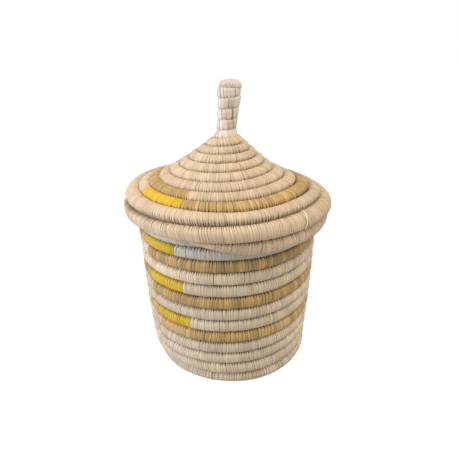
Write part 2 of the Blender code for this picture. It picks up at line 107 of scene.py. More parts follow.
# Wrapping strips
STRIP_WIDTH, KNOB_STRIP_WIDTH = 0.0019, 0.0021
SQUARENESS, OUTWARD_SHARE = 2.4, 0.96
WIDTH_SPREAD, NARROWEST_SHARE, WIDEST_SHARE, LEAST_STRIPS = 0.24, 0.55, 1.6, 3
STRIP_SIDES = 20
RING_SHARES = (0, 0.14, 0.5, 0.86)       # where the rings of a strip lie across it
RING_GROOVES = (1, 0.22, 0, 0.22)        # how much of the groove's depth each of them has
GROOVE_DEPTH = 0.00010
NOTCH_DEPTH, NOTCH_WIDENING = 0.00095, 0.13
NOTCH_FROM, NOTCH_OVER = radians(58), radians(34)
NOTCH_LUCK = (0.35, 1.25)
TIP_RISE, TIP_LUCK = 0.00024, (0.4, 1.6)
TIP_PLACE, TIP_SPREAD = radians(33), radians(17)
CROWN_SPREAD = 0.00005
SLANT, SLANT_WANDER, SLANT_WAVES = 0.15, 0.45, (0.021, 0.047, 0.11)
LUMP, LUMP_WAVES = 0.018, (0.013, 0.031, 0.071)
SHALLOWEST_SHARE = 0.3
ROW_OVERLAP, KNOB_OVERLAP = 0.00012, 0.0006
WELD = 1e-7
BASKET_STRIPS, LID_STRIPS, LID_FIRST_STRIP = 1200, 400, 6000     # numbers the strips of each length
BASKET_SEED, LID_SEED = 20, 60
BOTTOM_NOTCHED = 0.3
LID_OUTWARD_SHARE = 0.93
LID_WRAPS = {
    "edge_coil": dict(sewn=1, squareness=2.2, notched=(1.2, 0.2)),
    "brim_coil": dict(sewn=-1, squareness=SQUARENESS, notched=0.5),
    "lid_yellow_patch": dict(sewn=-1, squareness=2.5, notched=0.6),
    "lid_tan_band": dict(sewn=-1, squareness=2.5, notched=0.8),
    "cone_coil": dict(sewn=-1, squareness=2.5, notched=0.7),
    "knob_coil": dict(sewn=-1, squareness=5, notched=1.2, slanted=0.3, width=KNOB_STRIP_WIDTH,
                      overlap=KNOB_OVERLAP, outward_least=KNOB_COIL / 2),
}

# Cap of the knob
CAP_STRIPS, CAP_LEVELS, CAP_FIRST_STRIP, CAP_SEED = 27, 14, 5000, 11
CAP_RADIUS, CAP_DOME, CAP_UNDER, CAP_GAP = 0.0092, 0.0047, 0.0010, 0.0003
CAP_PEAK, CAP_PEAK_SHARE = 0.0003, 0.25
CAP_TOP_POWER, CAP_UNDER_POWER = 0.55, 0.12
CAP_WIDTH_SPREAD, CAP_NARROWEST_SHARE, CAP_WIDEST_SHARE = 0.2, 0.6, 1.5
CAP_SWIRL = 0.5
CAP_GROOVE_DEPTH, CAP_GROOVE_FROM, CAP_GROOVE_OVER = 0.0005, 0.3, 0.3
CAP_UNEVENNESS = 0.00012

# Loose strand bound round the brim
STRAND_WIDTH, STRAND_THICKNESS, STRAND_GAP = 0.0015, 0.0005, 0.0003
STRAND_FROM, STRAND_OVER = radians(-46), radians(188)
STRAND_SHEAR, STRAND_SHIFT = 0.0090, 0.0045
STRAND_WAVE, STRAND_WAVE_RATE, STRAND_WAVE_START = 0.0003, 5, 0.6
STRAND_END_NARROWING, STRAND_END_POWER = 0.25, 4
STRAND_RIPPLE, STRAND_RIPPLE_RATE = 0.08, 17
STRAND_POINTS, STRAND_SECTION_POINTS, STRAND_ROUNDNESS = 33, 13, 0.7
STRAND_FIRST_STRIP, STRAND_STRIP_SHARE = 9000.1, 0.8

# Pattern on the strips, in strips along the coil and in turns round it
RUN_LENGTH, ROW_RUN_LENGTH = 7, 130
STRIP_SEED, LINE_SEED = 0.5, 0.25
FIBRE_COUNT, FIBRE_ROUND, FIBRE_LUCK, FIBRE_DETAIL = 3.6, 2.5, 40, 3
LINE_SHARPNESS, LINE_LEAST, LINE_LUCK_POWER = 5.5, 0.15, 2
LINE_BREAKS_ALONG, LINE_BREAKS_ROUND = 1.7, 7
STAIN_LUCK, STAIN_PLACE, STAIN_WIDENING = 0.955, 0.50, 2.5
# Painted shade in the notches, where each strip dips into the row it was sewn to
NOTCH_SHADE_REACH, NOTCH_SHADE_WIDTH, NOTCH_SHADE_LUCK, NOTCH_SHADE_SHARPNESS = 0.155, 0.12, 0.30, 9
FIBRE_HEIGHT, LINE_HEIGHT = 0.7, 0.5

# Tints that multiply or cover a dye, and the finish of raffia
NOISE_LOW, NOISE_HIGH = 0.35, 0.65
ROW_TINT = (0.86, 0.86, 0.87)
BRIGHTEST_STRIP = 1.04
FIBRE_LOW, FIBRE_HIGH, FIBRE_TINT = 0.40, 0.72, (0.60, 0.50, 0.34)
PALE_FIBRE_LOW, PALE_FIBRE_HIGH, PALE_FIBRE_SHARE = 0.42, 0.25, 0.10
LINE_TINT = (0.40, 0.27, 0.12)
STAIN_TINT, STAIN_SHARE = (0.30, 0.17, 0.05), 0.85
# Painted shade: the notches are darkened to this share of a raffia's dark tint
NOTCH_SHADE_SHARE = 0.24
RAFFIA_SPECULAR = 0.25
SMOOTH_FIBRE, ROUGH_FIBRE, LEAST_ROUGHNESS, MOST_ROUGHNESS = 0.3, 0.7, 0.45, 0.62
BUMP_DISTANCE, BUMP_STRENGTH = 0.0002, 0.5

# Light and dark tint of each raffia, and what else sets it apart; notch is how much painted shade darkens
# its notches
DYES = {
    "natural_raffia_wall": dict(light=(0.71, 0.59, 0.43), dark=(0.61, 0.50, 0.36)),
    "natural_raffia_foot": dict(light=(0.71, 0.59, 0.43), dark=(0.61, 0.50, 0.36), notch=0.25),
    # Painted shade: the rim's raffia is tinted greyer and cooler for the shade that the lid's brim casts
    # over it
    "natural_raffia_rim_painted_shade": dict(light=(0.58, 0.54, 0.455), dark=(0.52, 0.485, 0.41)),
    "natural_raffia_lid": dict(light=(0.66, 0.51, 0.34), dark=(0.60, 0.46, 0.305), notch=0.7),
    "natural_raffia_knob": dict(light=(0.80, 0.70, 0.59), dark=(0.72, 0.62, 0.51), line=1.2, notch=0.7,
                                uneven=0.12),
    "pale_raffia_strand": dict(light=(0.84, 0.68, 0.48), dark=(0.80, 0.64, 0.45)),
    "tan_raffia_low_band": dict(light=(0.72, 0.475, 0.185), dark=(0.48, 0.34, 0.145), run_length=4,
                                line=1.6, uneven=0.25),
    "tan_raffia_middle_band": dict(light=(0.66, 0.43, 0.165), dark=(0.42, 0.29, 0.115), run_length=4,
                                   line=1.6, uneven=0.25),
    "tan_raffia_high_band": dict(light=(0.66, 0.43, 0.17), dark=(0.36, 0.26, 0.11), run_length=4,
                                 line=1.6, uneven=0.25),
    "tan_raffia_lid": dict(light=(0.62, 0.405, 0.15), dark=(0.43, 0.30, 0.125), run_length=3,
                           line=1.6, notch=0.8, uneven=0.25),
    "yellow_raffia": dict(light=(0.65, 0.425, 0.018), dark=(0.56, 0.365, 0.014), run_length=5, streak=0.3),
}

# Photograph's camera
CAMERA_DISTANCE = 0.399
CAMERA_ELEVATION = radians(21.69)
CAMERA_ROLL = -0.0159
AIM_HEIGHT = 0.11046
FOCAL_PIXELS = 452
IMAGE_PIXELS = 460
SENSOR_WIDTH = 36
SHIFT_PIXELS = 2.39
CLIP_START = 0.01

# Studio
FLOOR_SIZE, FLOOR_GREY, FLOOR_ROUGHNESS = 6, 0.50, 0.9
FLOOR_GLOW, FLOOR_GLOW_SHARE = 1.20, 0.80
ROOM_COLOUR, ROOM_STRENGTH = (0.96, 0.98, 1), 0.60
LAMP_AIM = (0, 0, 0.1)
LAMPS = (                        # name, place, size, watts and colour
    ("lamp_left", (-1.45, -0.30, 0.50), 0.7, 21, (0.95, 0.98, 1.12)),
    ("lamp_above", (0.35, -0.20, 1.30), 0.9, 10.5, (1, 0.92, 0.80)),
    ("lamp_right", (1.15, -0.55, 1.05), 0.7, 6.5, (1, 0.95, 0.90)),
)


def smooth_line(points):
    """A smooth outline through a few (radius, height) points, as closely spaced points."""
    known = np.array(points)
    ends = np.vstack([2 * known[0] - known[1], known, 2 * known[-1] - known[-2]])
    line = [known[0]]
    for i in range(len(known) - 1):
        before, start, end, after = ends[i:i + 4]
        for step in range(1, SPAN_STEPS + 1):
            t = step / SPAN_STEPS
            line.append(0.5 * (2 * start + (end - before) * t
                               + (2 * before - 5 * start + 4 * end - after) * t ** 2
                               + (3 * start - before - 3 * end + after) * t ** 3))
    return np.array(line)


def distances_along(line):
    return np.concatenate([[0], np.cumsum(np.linalg.norm(np.diff(line, axis=0), axis=1))])


def basket_outline(bottom_height):
    wall = smooth_line([(FOOT_RADIUS, bottom_height), *WALL_LINE])
    along = distances_along(wall)
    foot = wall[0]
    before = foot - np.array([FOOT_CORNER, 0])
    after = np.array([np.interp(FOOT_CORNER, along, wall[:, i]) for i in range(2)])
    corner = [(1 - t) ** 2 * before + 2 * t * (1 - t) * foot + t ** 2 * after
              for t in np.linspace(0, 1, CORNER_STEPS)]
    return np.vstack([(START_RADIUS, bottom_height), corner, wall[along > FOOT_CORNER]])


def row_spacing(mean_thickness, radius):
    square_on = mean_thickness + ROW_GAP
    steepness = min(square_on / (2 * pi * radius), STEEPEST_SHARE)
    return square_on / (1 - steepness ** 2) ** 0.5


def smooth_step(x):
    x = np.clip(x, 0, 1)
    return x * x * (3 - 2 * x)


class Winding:
    """A coil wound along an outline, each row laid against the row before it."""

    def __init__(self, outline, first_turn, last_turn, thickness, angle_offset=0, even_from=None):
        self.angle_offset = angle_offset
        along = distances_along(outline)
        first = floor(first_turn * POINTS_PER_TURN) + 1
        turns = [first_turn] + [i / POINTS_PER_TURN for i in range(first, first + POINTS_PER_TURN)]
        mean_thickness = (thickness(first_turn) + thickness(first_turn + 1)) / 2
        first_step = row_spacing(mean_thickness, outline[0, 0] + mean_thickness / 2)
        places = [(turn - first_turn) * first_step for turn in turns]
        step = first + POINTS_PER_TURN
        while step / POINTS_PER_TURN <= last_turn:
            turn = step / POINTS_PER_TURN
            place = np.interp(turn - 1, turns, places)
            here = np.array([np.interp(place, along, outline[:, i]) for i in range(2)])
            mean_thickness = (thickness(turn) + thickness(turn - 1)) / 2
            between = np.interp(place + mean_thickness / 2, along, outline[:, 0])
            apart = row_spacing(mean_thickness, between)
            ahead = along > place
            reach = np.linalg.norm(outline[ahead] - here, axis=1)
            if not len(reach) or reach[-1] < apart:
                break
            beyond = int(np.argmax(reach >= apart))
            far_place = along[ahead][beyond]
            near_place = along[ahead][beyond - 1] if beyond else place
            near_reach = reach[beyond - 1] if beyond else 0
            share = (apart - near_reach) / (reach[beyond] - near_reach)
            turns.append(turn)
            places.append(near_place + share * (far_place - near_place))
            step += 1
        self.turns = np.array(turns)
        if even_from is not None:
            places = self._evened(np.array(places), even_from)
        self.points = np.stack([np.interp(places, along, outline[:, i]) for i in range(2)], 1)
        self.thick = np.array([thickness(turn) for turn in turns])

    def _evened(self, places, even_from):
        half = POINTS_PER_TURN // 2
        reach = np.arange(1, half + 1)
        before = places[0] - reach[::-1] * (places[1] - places[0])
        after = places[-1] + reach * (places[-1] - places[-1 - POINTS_PER_TURN]) / POINTS_PER_TURN
        padded = np.concatenate([before, places, after])
        window = np.ones(2 * half + 1)
        window[[0, -1]] = 0.5
        mean = np.convolve(padded, window / window.sum(), "valid")
        share = np.clip((self.turns - even_from) / EVEN_OVER, 0, 1)
        return places * (1 - share) + mean * share

    def at(self, turn):
        """Radius, height and thickness of the coil at a turn, or at an array of turns."""
        radius, height = [np.interp(turn, self.turns, self.points[:, i]) for i in range(2)]
        return radius, height, np.interp(turn, self.turns, self.thick)

    def taper(self, tip, length, tip_share, neighbour):
        full = self.points.copy()
        for i, turn in enumerate(self.turns):
            share = (turn - tip) / length
            if not 0 <= share < 1:
                continue
            thin = self.thick[i] * (tip_share + (1 - tip_share) * share)
            beside = np.array([np.interp(turn + neighbour, self.turns, full[:, k]) for k in range(2)])
            away = full[i] - beside
            between = (full[i][0] + beside[0]) / 2
            apart = row_spacing((thin + self.at(turn + neighbour)[2]) / 2, between)
            self.points[i] = beside + away / np.linalg.norm(away) * apart
            self.thick[i] = thin

    def level_front(self, from_turn, over, share):
        """Lets the rows past a turn climb mostly at the back, so that they run level at the front."""
        climb = self.at(self.turns + 0.5)[1] - self.at(self.turns - 0.5)[1]
        fade = smooth_step((self.turns - from_turn) / over)
        angle = 2 * pi * self.turns + self.angle_offset
        self.points[:, 1] -= share * fade * climb / (2 * pi) * np.sin(angle)

    def fill_up(self, amount):
        """Thickens the last turn upwards."""
        more = amount * smooth_step((self.turns - self.turns[-1] + FILL_TURNS) / FILL_OVER)
        self.points[:, 1] += more / 2
        self.thick += more

    def settle(self):
        """Works out the lean of the rows and the distance along the coil once its tapers are laid."""
        near = np.maximum(self.turns - 0.5, self.turns[0])
        far = np.minimum(near + 1, self.turns[-1])
        start = np.stack(self.at(far - 1)[:2])
        end = np.stack(self.at(far)[:2])
        self.leans = np.unwrap(np.arctan2(end[1] - start[1], end[0] - start[0]))
        middle = (self.points[1:, 0] + self.points[:-1, 0]) / 2
        self.run = np.concatenate([[0], np.cumsum(2 * pi * middle * np.diff(self.turns))])

    def frames(self, turn):
        """Place, lean-wise, outward and half-thickness arrays for an array of turns."""
        radius, height, thick = self.at(turn)
        angle = 2 * pi * turn + self.angle_offset
        lean = np.interp(turn, self.turns, self.leans)
        zero = np.zeros_like(turn)
        out = np.stack([np.sin(angle), -np.cos(angle), zero], -1)
        around = np.stack([np.cos(angle), np.sin(angle), zero], -1)
        up = np.array([0, 0, 1])
        step = 0.5 / POINTS_PER_TURN
        radius_more, height_more, _ = self.at(turn + step)
        radius_less, height_less, _ = self.at(turn - step)
        way = (out * ((radius_more - radius_less) / (2 * step))[..., None]
               + around * (2 * pi * radius)[..., None]
               + up * ((height_more - height_less) / (2 * step))[..., None])
        way /= np.linalg.norm(way, axis=-1, keepdims=True)
        across = out * np.cos(lean)[..., None] + up * np.sin(lean)[..., None]
        across -= way * (across * way).sum(-1, keepdims=True)
        across /= np.linalg.norm(across, axis=-1, keepdims=True)
        outward = out * np.sin(lean)[..., None] - up * np.cos(lean)[..., None]
        outward -= way * (outward * way).sum(-1, keepdims=True)
        outward -= across * (outward * across).sum(-1, keepdims=True)
        outward /= np.linalg.norm(outward, axis=-1, keepdims=True)
        place = out * radius[..., None] + up * height[..., None]
        return place, across, outward, thick / 2


def strip_edges(winding, first, last, width, luck):
    """Turns at which one strip of raffia ends and the next begins, unevenly wide."""
    start, end = np.interp([first, last], winding.turns, winding.run)
    count = max(LEAST_STRIPS, int(round((end - start) / width)))
    widths = np.clip(luck.normal(1, WIDTH_SPREAD, count), NARROWEST_SHARE, WIDEST_SHARE)
    edges = start + (end - start) * np.concatenate([[0], np.cumsum(widths)]) / widths.sum()
    return np.interp(edges, winding.run, winding.turns)


def strip_rings(count):
    """For each ring of a number of strips: where it lies across its strip, its groove and the strip."""
    shares = np.append(np.tile(RING_SHARES, count), 1)
    grooves = np.append(np.tile(RING_GROOVES, count), 1).astype(float)
    strips = np.append(np.repeat(np.arange(count), len(RING_SHARES)), count - 1)
    return shares, grooves, strips


def slow_wander(distance, luck, waves, amount):
    """A smooth random line along the coil."""
    line = np.zeros_like(distance)
    for wave in waves:
        line += np.sin(2 * pi * distance / wave + luck.uniform(0, 2 * pi))
    return amount * line / len(waves)


def grid_piece(name, places, strip_counts, material):
    """A closed tube from an array of rings, its seam and ends merged, with strips counted along it."""
    rings, sides = places.shape[0], places.shape[1] - 1
    work = bmesh.new()
    wrap = work.loops.layers.uv.new("wrap")
    bmesh.ops.create_grid(work, x_segments=rings - 1, y_segments=sides, size=0.5, calc_uvs=True)
    work.verts.ensure_lookup_table()
    edge = []
    for vert in work.verts:
        i = int(round((vert.co.x + 0.5) * (rings - 1)))
        j = int(round((vert.co.y + 0.5) * sides))
        vert.co = places[i, j]
        if i in (0, rings - 1) or j in (0, sides):
            edge.append(vert)
    for face in work.faces:
        face.smooth = True
        for loop in face.loops:
            uv = loop[wrap].uv
            uv.x = strip_counts[int(round(uv.x * (rings - 1)))]
    bmesh.ops.remove_doubles(work, verts=edge, dist=WELD)
    bmesh.ops.recalc_face_normals(work, faces=work.faces)
    mesh = bpy.data.meshes.new(name)
    work.to_mesh(mesh)
    work.free()
    mesh.materials.append(material)
    piece = bpy.data.objects.new(name, mesh)
    bpy.context.scene.collection.objects.link(piece)
    return piece


def wrapped_coil(node, winding, first, last, material, slot, body, shape, sewn=1, width=STRIP_WIDTH,
                 squareness=SQUARENESS, outward_share=OUTWARD_SHARE, outward_least=0,
                 overlap=ROW_OVERLAP, notched=1, slanted=1, first_strip=0, seed=1):
    """A length of coil wrapped in strips, notched along the side that the next row was sewn to.

    sewn is 1 where that is the side of the next turn, and -1 where it is the side of the turn before.
    notched is the share of a notch's full depth, or a pair of shares for the first and the last strip.
    """
    luck = np.random.default_rng(seed)
    edges = strip_edges(winding, first, last, width, luck)
    count = len(edges) - 1
    angles = 2 * pi * np.arange(STRIP_SIDES + 1) / STRIP_SIDES
    shares, grooves, strips = strip_rings(count)

    from_next = np.abs((angles + pi) % (2 * pi) - pi)
    notch = smooth_step((NOTCH_FROM - from_next) / NOTCH_OVER)
    tips = np.exp(-((from_next - TIP_PLACE) / TIP_SPREAD) ** 2)
    early, late = (shares > 0) & (shares < 0.5), (shares > 0.5) & (shares < 1)
    widening = NOTCH_WIDENING * (early.astype(float) - late.astype(float))
    notch_most = np.interp(edges, (first, last), np.broadcast_to(notched, 2))
    notch_luck = notch_most * luck.uniform(*NOTCH_LUCK, count + 1)
    ring_luck = np.where(grooves == 1, notch_luck[np.where(shares == 1, count, strips)],
                         (notch_luck[strips] + notch_luck[np.minimum(strips + 1, count)]) / 2)

    share = shares[:, None] + widening[:, None] * notch[None, :] * ring_luck[:, None]
    turns = edges[strips][:, None] + share * np.diff(edges)[strips][:, None]
    distance = np.interp(turns, winding.turns, winding.run)
    ends = np.interp([first, last], winding.turns, winding.run)
    fade = smooth_step(np.minimum(distance - ends[0], ends[1] - distance) / (2 * width))
    slant = slow_wander(distance[:, :1], luck, SLANT_WAVES, SLANT_WANDER)
    lean = np.cos(angles)[None, :] * (SLANT + slant) * slanted * width * fade
    turns = np.interp(distance + lean, winding.run, winding.turns)
    turns = np.clip(turns, first, last)

    place, across, outward, half = winding.frames(turns)
    half = half + ROW_GAP / 2 + overlap
    lump = 1 + slow_wander(distance, luck, LUMP_WAVES, LUMP)
    cosine, sine = np.cos(angles)[None, :], np.sin(angles)[None, :]
    norm = (np.abs(cosine) ** squareness + np.abs(sine) ** squareness) ** (1 / squareness)
    thin = np.clip(half / (COIL_PITCH / 2), SHALLOWEST_SHARE, 1)
    crown = luck.normal(0, CROWN_SPREAD, count)[strips][:, None]
    tip_luck = luck.uniform(*TIP_LUCK, count)[strips][:, None]
    depth = (GROOVE_DEPTH + NOTCH_DEPTH * notch[None, :] * ring_luck[:, None]) * grooves[:, None]
    depth = depth - (TIP_RISE * tips[None, :] * tip_luck + crown) * (1 - grooves[:, None])
    reach = (lump - depth * thin / half) / norm
    places = (place + across * (sewn * cosine * half * reach)[..., None]
              + outward * (sine * np.maximum(half, outward_least) * outward_share * reach)[..., None])
    middles = place.mean(1, keepdims=True)
    places = np.concatenate([np.repeat(middles[:1], STRIP_SIDES + 1, 1), places,
                             np.repeat(middles[-1:], STRIP_SIDES + 1, 1)])
    places[:, -1] = places[:, 0]

    counts = first_strip + strips + shares
    counts = np.concatenate([counts[:1], counts, counts[-1:]])
    piece = grid_piece(f"{node}_wrapping", shape(places), counts, material)
    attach(piece, body)
    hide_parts(node)


def on_ground(places):
    """Moves the front of the basket's foot to the right, lifts its rows a little and flattens its base."""
    from_axis = np.maximum(np.hypot(places[..., 0], places[..., 1]), START_RADIUS)
    front = np.clip(-places[..., 1] / from_axis, 0, 1)
    places[..., 0] += front * np.interp(places[..., 2], FOOT_SHIFT_HEIGHTS, FOOT_SHIFTS)
    places[..., 2] += np.interp(places[..., 2], WALL_RISE_HEIGHTS, WALL_RISES)
    places[..., 2] = np.maximum(places[..., 2], 0)
    return places


def on_rim(places):
    """Takes points of the lid from its own frame to where it sits, with its rows' crookedness."""
    angle = np.degrees(np.arctan2(places[..., 0], -places[..., 1]))
    rise = LID_RISE
    for height, middle in LID_WAVES:
        rise = rise + height * np.exp(-((angle - middle) / LID_WAVE_SPREAD) ** 2)
    places[..., 2] += rise * np.interp(places[..., 2], LID_RISE_HEIGHTS, LID_RISE_SHARES)
    places[..., 0] += np.interp(places[..., 2], LEAN_HEIGHTS, LEAN_SHIFTS)
    tilt = Matrix.Rotation(LID_TILT, 3, (cos(LID_TILT_ANGLE), sin(LID_TILT_ANGLE), 0))
    return places @ np.array(tilt).T + np.array([0, 0, SEAT_HEIGHT])


def lid_thickness(turn):
    turns, thicknesses = zip(*LID_COILS)
    return float(np.interp(turn, turns, thicknesses))


def strip_pattern():
    """Node group: what changes from strip to strip and along each strip, read from the wrap."""
    group = bpy.data.node_groups.new("raffia_strips", "ShaderNodeTree")
    for name in ("Strip", "Run", "Row", "Fibre", "Line", "Stain", "Notch Shade", "Height"):
        group.interface.new_socket(name, in_out="OUTPUT", socket_type="NodeSocketFloat")
    for name, value in (("Run Length", RUN_LENGTH), ("Fibre Count", FIBRE_COUNT)):
        socket = group.interface.new_socket(name, in_out="INPUT", socket_type="NodeSocketFloat")
        socket.default_value = value
    make, link = group.nodes.new, group.links.new

    def maths(operation, first, second=None, third=None):
        step = make("ShaderNodeMath")
        step.operation = operation
        for socket, value in zip(step.inputs, (first, second, third)):
            if isinstance(value, (int, float)):
                socket.default_value = value
            elif value is not None:
                link(value, socket)
        return step.outputs[0]

    def luck_of(number, seed):
        noise = make("ShaderNodeTexWhiteNoise")
        noise.noise_dimensions = "1D"
        link(maths("ADD", number, seed), noise.inputs["W"])
        return noise.outputs["Value"]

    def streaks(along, round_it, depth, detail):
        line = make("ShaderNodeCombineXYZ")
        for socket, value in zip(line.inputs, (along, round_it, depth)):
            link(value, socket)
        noise = make("ShaderNodeTexNoise")
        noise.inputs["Scale"].default_value = 1
        noise.inputs["Detail"].default_value = detail
        link(line.outputs[0], noise.inputs["Vector"])
        return noise.outputs["Fac"]

    given = make("NodeGroupInput")
    result = make("NodeGroupOutput")
    wrap = make("ShaderNodeUVMap")
    wrap.uv_map = "wrap"
    parts = make("ShaderNodeSeparateXYZ")
    link(wrap.outputs["UV"], parts.inputs[0])
    along, round_it = parts.outputs[0], parts.outputs[1]
    number = maths("FLOOR", along)
    border = maths("ROUND", along)
    luck = luck_of(number, STRIP_SEED)
    link(luck, result.inputs["Strip"])

    for name, length in (("Run", given.outputs["Run Length"]), ("Row", ROW_RUN_LENGTH)):
        runs = make("ShaderNodeTexNoise")
        runs.noise_dimensions = "1D"
        runs.inputs["Scale"].default_value = 1
        runs.inputs["Detail"].default_value = 2
        link(maths("DIVIDE", number, length), runs.inputs["W"])
        link(runs.outputs["Fac"], result.inputs[name])

    fibre_along = maths("MULTIPLY", along, given.outputs["Fibre Count"])
    fibre_round = maths("MULTIPLY", round_it, FIBRE_ROUND)
    fibre = streaks(fibre_along, fibre_round, maths("MULTIPLY", luck, FIBRE_LUCK), FIBRE_DETAIL)
    link(fibre, result.inputs["Fibre"])

    from_border = maths("ABSOLUTE", maths("SUBTRACT", along, border))
    line = maths("MAXIMUM", maths("SUBTRACT", 1, maths("MULTIPLY", from_border, LINE_SHARPNESS)), 0)
    line_luck = luck_of(border, LINE_SEED)
    line_place = streaks(maths("MULTIPLY", border, LINE_BREAKS_ALONG),
                         maths("MULTIPLY", round_it, LINE_BREAKS_ROUND), line_luck, 1)
    strength = maths("ADD", LINE_LEAST, maths("POWER", line_luck, LINE_LUCK_POWER))
    link(maths("MULTIPLY", line, strength), result.inputs["Line"])
    stain = maths("MULTIPLY", maths("GREATER_THAN", line_luck, STAIN_LUCK),
                  maths("GREATER_THAN", line_place, STAIN_PLACE))
    wide = maths("MINIMUM", maths("MULTIPLY", line, STAIN_WIDENING), 1)
    link(maths("MULTIPLY", wide, stain), result.inputs["Stain"])

    # Painted shade: a mask on the strip borders near the side sewn to the next row
    from_next = maths("PINGPONG", round_it, 0.5)
    near = maths("MAXIMUM", maths("SUBTRACT", 1, maths("DIVIDE", from_next, NOTCH_SHADE_REACH)), 0)
    widest = maths("ADD", NOTCH_SHADE_WIDTH, maths("MULTIPLY", line_luck, NOTCH_SHADE_LUCK))
    inside = maths("MAXIMUM", maths("SUBTRACT", maths("MULTIPLY", near, widest), from_border), 0)
    link(maths("MINIMUM", maths("MULTIPLY", inside, NOTCH_SHADE_SHARPNESS), 1), result.inputs["Notch Shade"])
    height = maths("SUBTRACT", maths("MULTIPLY", fibre, FIBRE_HEIGHT), maths("MULTIPLY", line, LINE_HEIGHT))
    link(height, result.inputs["Height"])
    return group


def raffia(name, pattern, light, dark, run_length=RUN_LENGTH, streak=0.5, line=0.85, notch=0.9,
           uneven=0.09):
    """Raffia in one dye: strips between a light and a dark tint, fibres along them, and painted shade in
    the notches.
    """
    material = bpy.data.materials.new(name)
    material.use_nodes = True
    tree = material.node_tree
    make, link = tree.nodes.new, tree.links.new
    shader = tree.nodes["Principled BSDF"]
    strips = make("ShaderNodeGroup")
    strips.node_tree = pattern
    strips.inputs["Run Length"].default_value = run_length

    def mixed(kind, share, first, second):
        mix = make("ShaderNodeMix")
        mix.data_type = "RGBA"
        mix.blend_type = kind
        # inputs 0, 6 and 7 of a colour mix are its share and its two colours, and output 2 is the mix
        for socket, value in ((mix.inputs[0], share), (mix.inputs[6], first), (mix.inputs[7], second)):
            if isinstance(value, (int, float)):
                socket.default_value = value
            elif isinstance(value, tuple):
                socket.default_value = (*value, 1)
            else:
                link(value, socket)
        return mix.outputs[2]

    def spread(name, low, high, to_low=0.0, to_high=1.0):
        ramp = make("ShaderNodeMapRange")
        ramp.inputs["From Min"].default_value = low
        ramp.inputs["From Max"].default_value = high
        ramp.inputs["To Min"].default_value = to_low
        ramp.inputs["To Max"].default_value = to_high
        link(strips.outputs[name], ramp.inputs["Value"])
        return ramp.outputs[0]

    strip_tint = mixed("MIX", spread("Strip", 0, 1), (BRIGHTEST_STRIP,) * 3, (1 - uneven,) * 3)
    # Colour of the painted shade in the notches
    notch_shade_tint = tuple(NOTCH_SHADE_SHARE * channel for channel in dark)
    tint = mixed("MIX", spread("Run", NOISE_LOW, NOISE_HIGH), light, dark)
    tint = mixed("MULTIPLY", spread("Row", NOISE_LOW, NOISE_HIGH), tint, ROW_TINT)
    tint = mixed("MULTIPLY", 1.0, tint, strip_tint)
    tint = mixed("MULTIPLY", spread("Fibre", FIBRE_LOW, FIBRE_HIGH, 0, streak), tint, FIBRE_TINT)
    pale_fibre = spread("Fibre", PALE_FIBRE_LOW, PALE_FIBRE_HIGH, 0, PALE_FIBRE_SHARE)
    tint = mixed("SCREEN", pale_fibre, tint, (1, 1, 1))
    tint = mixed("MULTIPLY", spread("Line", 0, 1, 0, line), tint, LINE_TINT)
    tint = mixed("MIX", spread("Stain", 0, 1, 0, STAIN_SHARE), tint, STAIN_TINT)
    # Painted shade laid over the notches
    tint = mixed("MIX", spread("Notch Shade", 0, 1, 0, notch), tint, notch_shade_tint)
    link(tint, shader.inputs["Base Color"])
    roughness = spread("Fibre", SMOOTH_FIBRE, ROUGH_FIBRE, LEAST_ROUGHNESS, MOST_ROUGHNESS)
    link(roughness, shader.inputs["Roughness"])
    shader.inputs["Specular IOR Level"].default_value = RAFFIA_SPECULAR
    bump = make("ShaderNodeBump")
    bump.inputs["Distance"].default_value = BUMP_DISTANCE
    bump.inputs["Strength"].default_value = BUMP_STRENGTH
    link(strips.outputs["Height"], bump.inputs["Height"])
    link(bump.outputs["Normal"], shader.inputs["Normal"])
    return material


def knob_cap(winding, material):
    """Domed whorl of strips over the top of the knob."""
    luck = np.random.default_rng(CAP_SEED)
    slope = KNOB_LEVEL_SHARE * (KNOB_COIL + ROW_GAP) / (2 * pi)
    _, height, thick = winding.at(winding.turns[-POINTS_PER_TURN:])
    top = height + thick / 2
    base = (max(top) + min(top)) / 2 + CAP_GAP

    shares, grooves, strips = strip_rings(CAP_STRIPS)
    widths = np.clip(luck.normal(1, CAP_WIDTH_SPREAD, CAP_STRIPS), CAP_NARROWEST_SHARE, CAP_WIDEST_SHARE)
    edges = 2 * pi * np.concatenate([[0], np.cumsum(widths)]) / widths.sum()
    tilt = np.linspace(pi / 2, -pi / 2, CAP_LEVELS + 1)
    level = np.linspace(0, 1, CAP_LEVELS + 1)
    angle = edges[strips] + shares * np.diff(edges)[strips]
    angle = angle[:, None] + CAP_SWIRL * (1 - level[None, :]) ** 2
    power = np.where(tilt > 0, CAP_TOP_POWER, CAP_UNDER_POWER)
    out = CAP_RADIUS * np.maximum(np.cos(tilt), 0) ** power
    out[0] = out[-1] = 0

    away = smooth_step(out / CAP_RADIUS * 2)[None, :]
    deeper = CAP_GROOVE_DEPTH * smooth_step((level - CAP_GROOVE_FROM) / CAP_GROOVE_OVER)
    depth = (GROOVE_DEPTH + deeper[None, :]) * grooves[:, None] * away
    uneven = luck.normal(0, CAP_UNEVENNESS, CAP_STRIPS)[strips][:, None]
    depth = depth - uneven * (1 - grooves[:, None]) * away
    rise = CAP_UNDER + np.where(tilt > 0, CAP_DOME, CAP_UNDER) * np.sin(tilt)
    peak = CAP_PEAK * np.exp(-(out / (CAP_PEAK_SHARE * CAP_RADIUS)) ** 2) * (tilt > 0)
    low = smooth_step(1 - tilt / (pi / 2)) * out / CAP_RADIUS
    reach = np.maximum(out[None, :] - depth, 0)
    height = base + (rise + peak)[None, :] - slope * low[None, :] * np.sin(angle)
    places = np.stack([reach * np.sin(angle), -reach * np.cos(angle), height], -1)
    places[-1] = places[0]

    piece = grid_piece("knob_cap_wrapping", on_rim(places), CAP_FIRST_STRIP + strips + shares, material)
    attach(piece, "lid")
    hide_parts("knob_cap")


